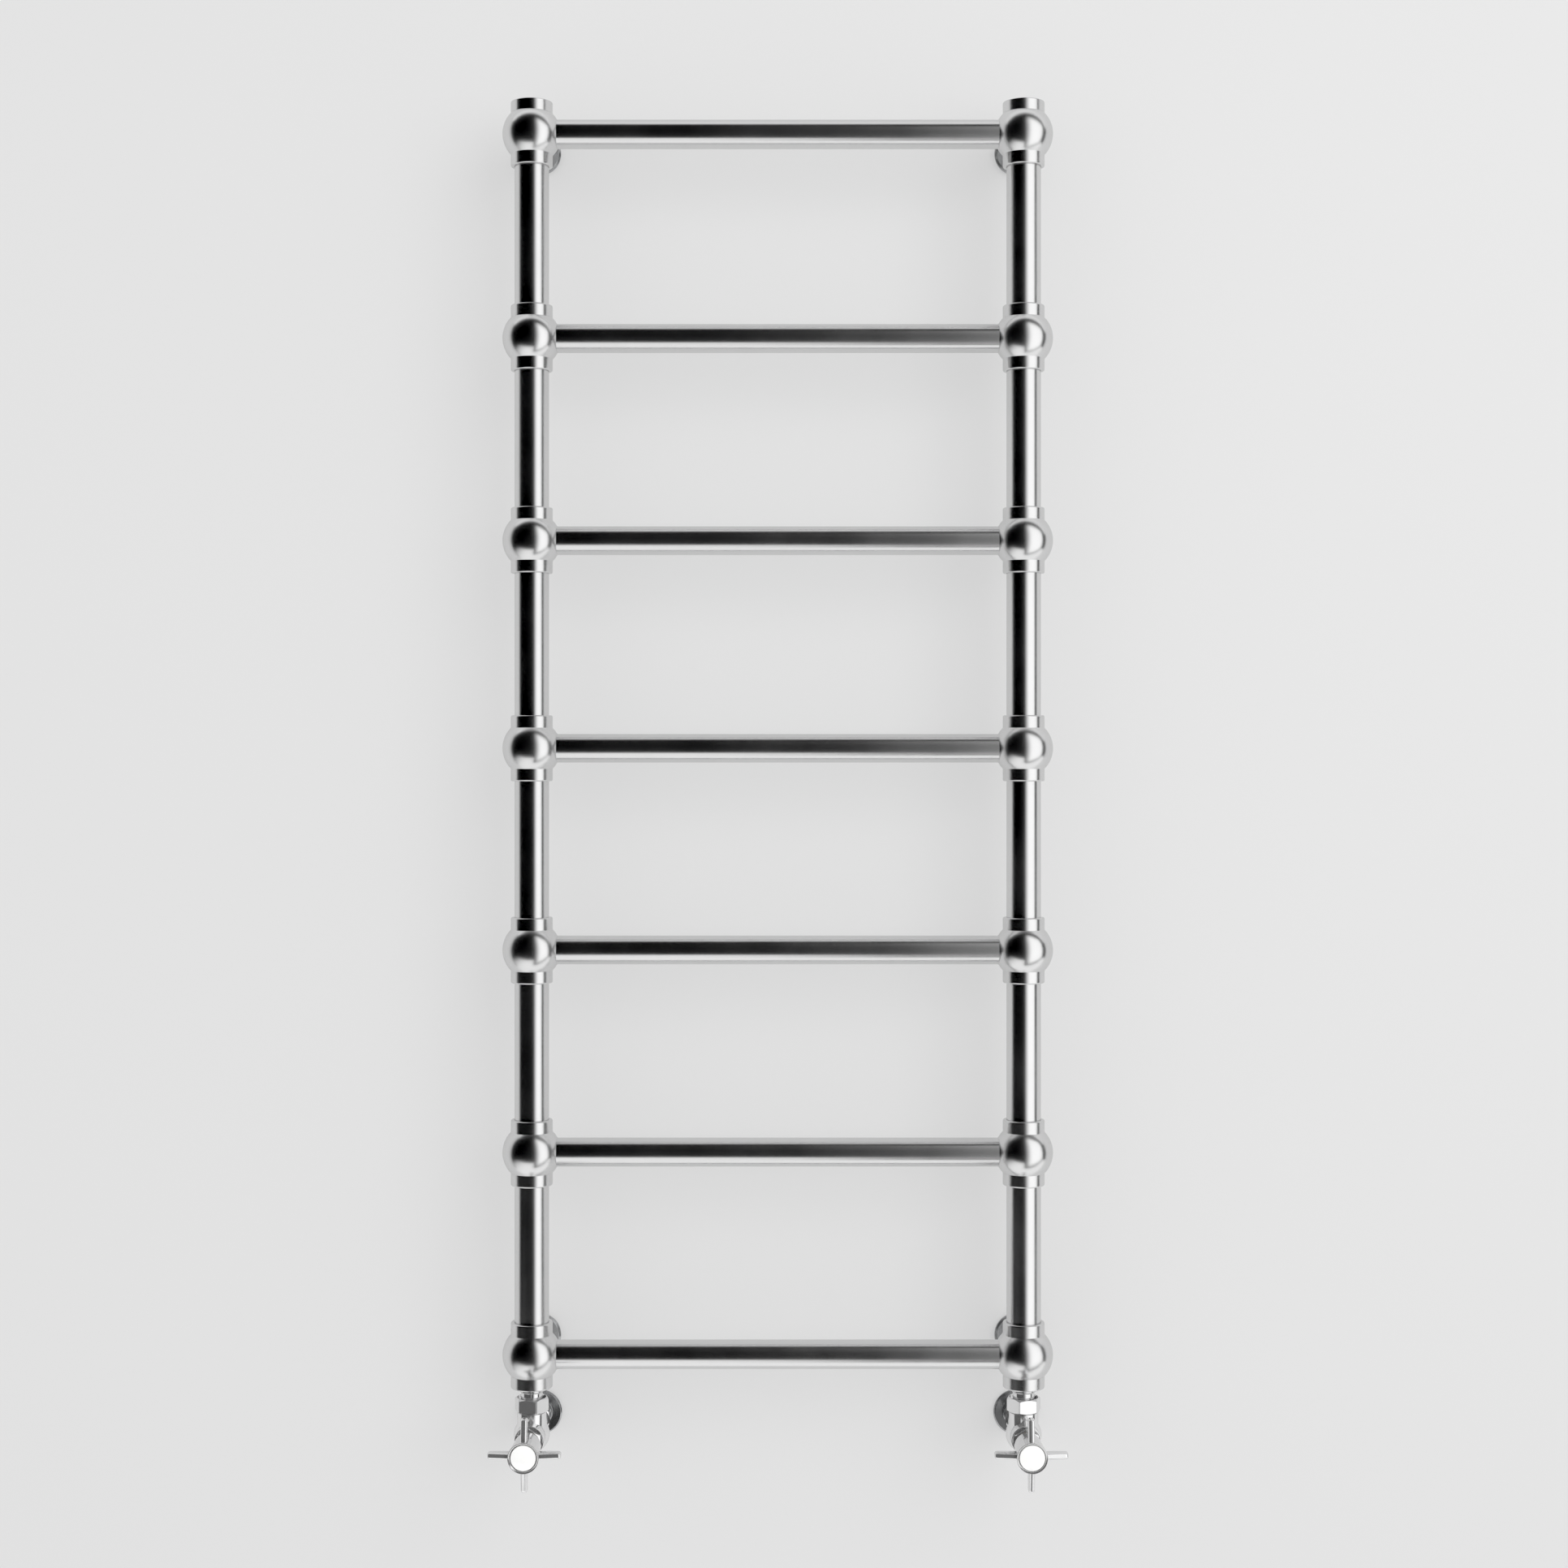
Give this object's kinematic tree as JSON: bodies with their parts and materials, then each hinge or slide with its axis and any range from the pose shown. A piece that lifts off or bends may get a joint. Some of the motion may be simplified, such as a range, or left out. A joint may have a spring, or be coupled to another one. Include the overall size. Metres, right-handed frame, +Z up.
{
  "type": "radiator with valve",
  "caption": "Wall-hung ladder towel radiator of round tubes and ball joints, with an angled cross-handle valve under each post.",
  "frame": {"origin": "on the wall face, midway between the two posts, level with the centres of the lowest ball joints and lower wall brackets", "axes": "+Z up along the posts; +Y into the wall, so the front faces -Y; +X to the right as seen from the front"},
  "size_m": [0.5728, 0.164, 1.3895],
  "materials": {
    "radiator_chrome": "polished, slightly soft reflections",
    "valve_chrome": "mirror polished",
    "brass": "machined",
    "white_ceramic": "glossy white glaze"
  },
  "bodies": {
    "radiator": {"ball_joint_left_1": "radiator_chrome", "ball_joint_left_2": "radiator_chrome", "ball_joint_left_3": "radiator_chrome", "ball_joint_left_4": "radiator_chrome", "ball_joint_left_5": "radiator_chrome", "ball_joint_left_6": "radiator_chrome", "ball_joint_left_7": "radiator_chrome", "post_left_1": "radiator_chrome", "post_left_2": "radiator_chrome", "post_left_3": "radiator_chrome", "post_left_4": "radiator_chrome", "post_left_5": "radiator_chrome", "post_left_6": "radiator_chrome", "ball_joint_right_1": "radiator_chrome", "ball_joint_right_2": "radiator_chrome", "ball_joint_right_3": "radiator_chrome", "ball_joint_right_4": "radiator_chrome", "ball_joint_right_5": "radiator_chrome", "ball_joint_right_6": "radiator_chrome", "ball_joint_right_7": "radiator_chrome", "post_right_1": "radiator_chrome", "post_right_2": "radiator_chrome", "post_right_3": "radiator_chrome", "post_right_4": "radiator_chrome", "post_right_5": "radiator_chrome", "post_right_6": "radiator_chrome", "rail_1": "radiator_chrome", "rail_2": "radiator_chrome", "rail_3": "radiator_chrome", "rail_4": "radiator_chrome", "rail_5": "radiator_chrome", "rail_6": "radiator_chrome", "rail_7": "radiator_chrome", "wall_bracket_bottom_left": "valve_chrome", "wall_bracket_top_left": "valve_chrome", "wall_bracket_bottom_right": "valve_chrome", "wall_bracket_top_right": "valve_chrome", "air_vent_plug": "valve_chrome", "blanking_plug": "valve_chrome", "valve_body_left": "valve_chrome", "radiator_tail_left": "valve_chrome", "union_nut_left": "valve_chrome", "valve_bonnet_left": "valve_chrome", "compression_nut_left": "valve_chrome", "pipe_rose_left": "valve_chrome", "valve_body_right": "valve_chrome", "radiator_tail_right": "valve_chrome", "union_nut_right": "valve_chrome", "valve_bonnet_right": "valve_chrome", "compression_nut_right": "valve_chrome", "pipe_rose_right": "valve_chrome"},
    "left_handle": {"cross_handle_left": "valve_chrome", "handle_insert_left": "white_ceramic", "valve_spindle_left": "brass"},
    "left_plug": {"valve_plug_left": "brass"},
    "right_handle": {"cross_handle_right": "valve_chrome", "handle_insert_right": "white_ceramic", "valve_spindle_right": "brass"},
    "right_plug": {"valve_plug_right": "brass"},
    "bleed": {"bleed_screw": "brass"}
  },
  "joints": [
    {"name": "left_handle_turn", "type": "hinge", "parent": "radiator", "child": "left_handle", "pos_m": [-0.25, -0.08, -0.081], "axis": [0, -1, 0], "range_deg": [0, 945]},
    {"name": "left_plug_travel", "type": "slide", "parent": "radiator", "child": "left_plug", "axis": [0, -1, 0], "range_m": [0, 0.004]},
    {"name": "right_handle_turn", "type": "hinge", "parent": "radiator", "child": "right_handle", "pos_m": [0.25, -0.08, -0.081], "axis": [0, -1, 0], "range_deg": [0, 945]},
    {"name": "right_plug_travel", "type": "slide", "parent": "radiator", "child": "right_plug", "axis": [0, -1, 0], "range_m": [0, 0.004]},
    {"name": "bleed_screw_turn", "type": "hinge", "parent": "radiator", "child": "bleed", "pos_m": [-0.25, -0.08, 1.267], "axis": [0, 0, 1], "range_deg": [0, 360]}
  ],
  "couplings": [
    {"joint": "left_plug_travel", "follows": "left_handle_turn", "m_per_rad": 0.0002387},
    {"joint": "right_plug_travel", "follows": "right_handle_turn", "m_per_rad": 0.0002387}
  ]
}
